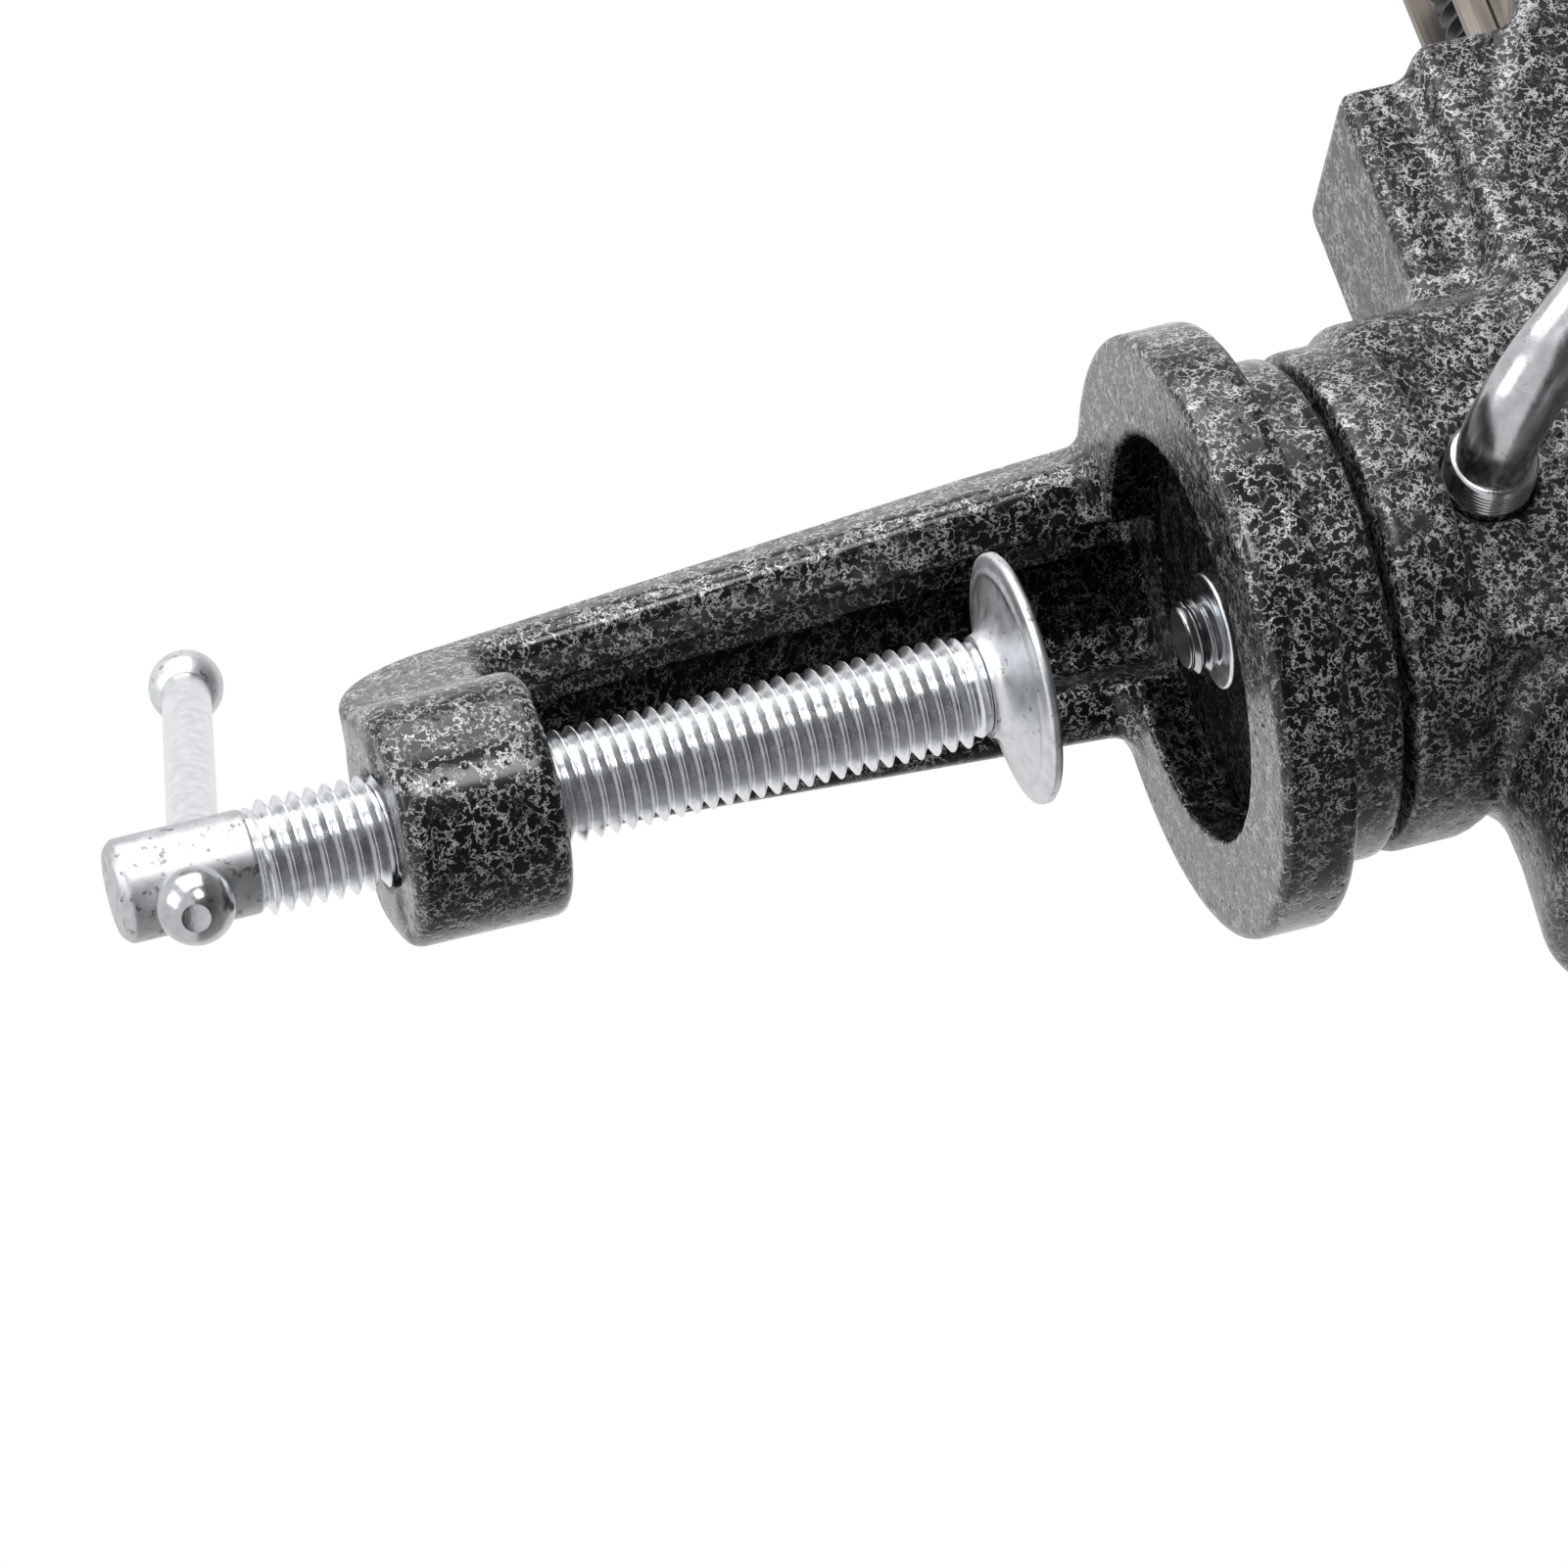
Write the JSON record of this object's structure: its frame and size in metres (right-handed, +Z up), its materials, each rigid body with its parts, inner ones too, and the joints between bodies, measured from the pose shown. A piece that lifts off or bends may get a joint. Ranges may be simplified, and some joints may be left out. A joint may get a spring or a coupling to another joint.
{
  "type": "clamp-on table vise",
  "caption": "Small clamp-on table vise: C-clamp base with screw and pad, swivelling head with lock lever, sliding front jaw, spindle and tommy bars.",
  "frame": {"origin": "swivel axis at the table-bearing underside of the clamp flange", "axes": "+Z up along the swivel axis, -Y towards the front jaw and handle, +X to the right seen from the front"},
  "size_m": [0.1298, 0.1829, 0.2128],
  "materials": {
    "hammertone": "hammertone enamel, black with silver-grey flecks",
    "zinc": "bright zinc plate",
    "bare_iron": "bare machined iron",
    "jaw_steel": "bare ground steel"
  },
  "bodies": {
    "clamp_base": {"clamp_frame": "hammertone"},
    "pad": {"clamp_pad": "zinc"},
    "clamp_screw": {"clamp_screw": "zinc"},
    "clamp_bar": {"clamp_bar": "zinc", "clamp_knob_near": "zinc", "clamp_knob_far": "zinc"},
    "head": {"vise_body": "hammertone", "pivot_bolt": "zinc", "pivot_nut": "zinc", "spindle_nut": "bare_iron", "fixed_jaw_plate": "jaw_steel", "fixed_screw_left": "zinc", "fixed_screw_right": "zinc"},
    "lever": {"lock_lever": "zinc", "lever_knob": "zinc"},
    "front_jaw": {"moving_jaw": "hammertone", "slide_bar": "bare_iron", "moving_jaw_plate": "jaw_steel", "moving_screw_left": "zinc", "moving_screw_right": "zinc"},
    "spindle": {"spindle": "zinc", "spindle_retainer": "jaw_steel"},
    "handle": {"handle_bar": "zinc", "handle_knob_left": "zinc", "handle_knob_right": "zinc"}
  },
  "joints": [
    {"name": "clamp_travel", "type": "slide", "parent": "clamp_base", "child": "pad", "axis": [0, 0, 1], "range_m": [-0.0456, 0.0123]},
    {"name": "clamp_turn", "type": "hinge", "parent": "pad", "child": "clamp_screw", "pos_m": [0, 0, 0], "axis": [0, 0, 1], "range_deg": [-9360, 2520]},
    {"name": "clamp_bar_slide", "type": "slide", "parent": "clamp_screw", "child": "clamp_bar", "axis": [-0.6805, -0.7046, -0.2011], "range_m": [0, 0.0505]},
    {"name": "head_swivel", "type": "hinge", "parent": "clamp_base", "child": "head", "pos_m": [0, 0, 0], "axis": [0, 0, 1], "continuous": true},
    {"name": "lever_turn", "type": "hinge", "parent": "head", "child": "lever", "pos_m": [-0.02, 0, 0.0315], "axis": [-1, 0, 0], "range_deg": [0, 180]},
    {"name": "jaw_slide", "type": "slide", "parent": "head", "child": "front_jaw", "axis": [0, -1, 0], "range_m": [-0.00441, 0.0451]},
    {"name": "spindle_turn", "type": "hinge", "parent": "front_jaw", "child": "spindle", "pos_m": [0, 0, 0.058], "axis": [0, 1, 0], "range_deg": [-8100, 792]},
    {"name": "handle_slide", "type": "slide", "parent": "spindle", "child": "handle", "axis": [1, 0, 0], "range_m": [-0.0388, 0.0388]}
  ],
  "couplings": [
    {"joint": "clamp_travel", "follows": "clamp_turn", "m_per_rad": 0.00027852},
    {"joint": "jaw_slide", "follows": "spindle_turn", "m_per_rad": -0.00031831}
  ]
}
